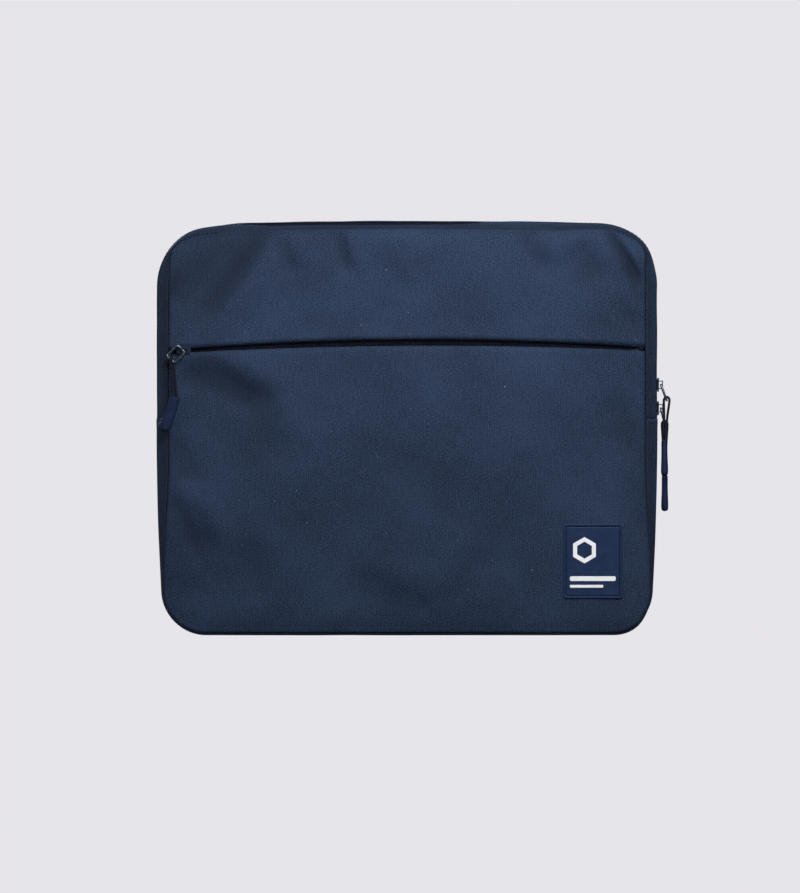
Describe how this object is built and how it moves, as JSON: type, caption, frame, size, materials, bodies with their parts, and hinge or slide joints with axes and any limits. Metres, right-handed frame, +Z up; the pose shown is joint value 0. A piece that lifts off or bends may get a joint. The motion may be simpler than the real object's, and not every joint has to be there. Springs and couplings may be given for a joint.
{
  "type": "laptop sleeve",
  "caption": "Navy padded laptop sleeve with a wrap-round zip gusset, a zipped front pocket, cord pulls and a rubber label",
  "frame": {"origin": "middle of the flat bottom, under the line of the main zip", "axes": "+X to the right seen from the front, -Y out of the front panel, +Z up"},
  "size_m": [0.3718, 0.0381, 0.3],
  "materials": {
    "shell_fabric": "matt woven polyester",
    "lining": "smooth thin lining",
    "foam": "closed-cell foam",
    "zip_tape": "herringbone tape",
    "zip_coil": "nylon coil",
    "zip_metal": "dark navy lacquer, worn at the edges",
    "pull_cord": "fine braided cord",
    "pull_rubber": "moulded matt rubber",
    "label_rubber": "moulded matt rubber",
    "label_ink": "moulded white rubber"
  },
  "bodies": {
    "root": {"back_foam": "foam", "back_lining": "lining", "back_panel": "shell_fabric", "back_seam_binding": "zip_tape", "bottom_gusset": "shell_fabric", "bottom_gusset_lining": "lining", "front_foam_lower": "foam", "front_lining_lower": "lining", "front_panel_lower": "shell_fabric", "front_seam_binding_lower": "zip_tape", "gusset_lining_back": "lining", "label_bar_narrow": "label_ink", "label_bar_wide": "label_ink", "label_emblem": "label_ink", "pocket_lining_lower": "lining", "rubber_label": "label_rubber", "zip_coil_back": "zip_coil", "zip_coil_stub_left": "zip_coil", "zip_coil_stub_right": "zip_coil", "zip_gusset_back": "shell_fabric", "zip_gusset_stub_left": "shell_fabric", "zip_gusset_stub_right": "shell_fabric", "zip_stop_left": "zip_metal", "zip_stop_right": "zip_metal", "zip_tape_back": "zip_tape", "zip_tape_stub_left": "zip_tape", "zip_tape_stub_right": "zip_tape"},
    "front_flap": {"front_foam_upper": "foam", "front_lining_upper": "lining", "front_panel_band": "shell_fabric", "front_panel_upper": "shell_fabric", "front_seam_binding_upper": "zip_tape", "gusset_lining_front": "lining", "pocket_coil_lower": "zip_coil", "pocket_coil_upper": "zip_coil", "pocket_lining_upper": "lining", "pocket_stop_left": "zip_metal", "pocket_stop_right": "zip_metal", "pocket_tape_lower": "zip_tape", "pocket_tape_upper": "zip_tape", "zip_coil_front": "zip_coil", "zip_gusset_front": "shell_fabric", "zip_tape_front": "zip_tape"},
    "lower_pull": {"lower_cord": "pull_cord", "lower_tip": "pull_rubber"},
    "lower_loop": {"lower_loop": "zip_metal"},
    "lower_slider": {"lower_slider": "zip_metal"},
    "pocket_pull": {"pocket_cord": "pull_cord", "pocket_tip": "pull_rubber"},
    "pocket_loop": {"pocket_loop": "zip_metal"},
    "pocket_slider": {"pocket_slider": "zip_metal"},
    "upper_pull": {"upper_cord": "pull_cord", "upper_tip": "pull_rubber"},
    "upper_loop": {"upper_loop": "zip_metal"},
    "upper_slider": {"upper_slider": "zip_metal"}
  },
  "joints": [
    {"name": "front_flap_fold", "type": "hinge", "parent": "root", "child": "front_flap", "pos_m": [0, -0.0183, 0.18], "axis": [1, 0, 0], "range_deg": [0, 50]},
    {"name": "upper_slider_slide", "type": "slide", "parent": "root", "child": "upper_slider", "axis": [0, 0, 1], "range_m": [0, 0.065]},
    {"name": "upper_loop_swing", "type": "hinge", "parent": "upper_slider", "child": "upper_loop", "pos_m": [0.18385, -0.0012, 0.181], "axis": [0, -1, 0], "range_deg": [0, 90]},
    {"name": "upper_pull_swing", "type": "hinge", "parent": "upper_loop", "child": "upper_pull", "pos_m": [0.18795, -0.0023, 0.16972], "axis": [0, -1, 0], "range_deg": [0, 80]},
    {"name": "lower_slider_slide", "type": "slide", "parent": "root", "child": "lower_slider", "axis": [0, 0, 1], "range_m": [0, 0.006]},
    {"name": "lower_loop_swing", "type": "hinge", "parent": "lower_slider", "child": "lower_loop", "pos_m": [0.18385, 0.0012, 0.164], "axis": [0, -1, 0], "range_deg": [0, 90], "deforming": ["upper_cord"]},
    {"name": "lower_pull_swing", "type": "hinge", "parent": "lower_loop", "child": "lower_pull", "pos_m": [0.18675, 0.0025, 0.15236], "axis": [0, -1, 0], "range_deg": [0, 80]},
    {"name": "pocket_slider_slide", "type": "slide", "parent": "front_flap", "child": "pocket_slider", "axis": [1, 0, 0], "range_m": [0, 0.322]},
    {"name": "pocket_loop_droop", "type": "hinge", "parent": "pocket_slider", "child": "pocket_loop", "pos_m": [-0.161, -0.0188, 0.207], "axis": [0, -1, 0], "range_deg": [-45, 0]},
    {"name": "pocket_pull_hang", "type": "hinge", "parent": "pocket_loop", "child": "pocket_pull", "pos_m": [-0.16948, -0.0188, 0.19851], "axis": [1, 0, 0], "range_deg": [-50, 0]}
  ],
  "couplings": [
    {"joint": "pocket_pull_hang", "follows": "front_flap_fold", "ratio": -1}
  ]
}
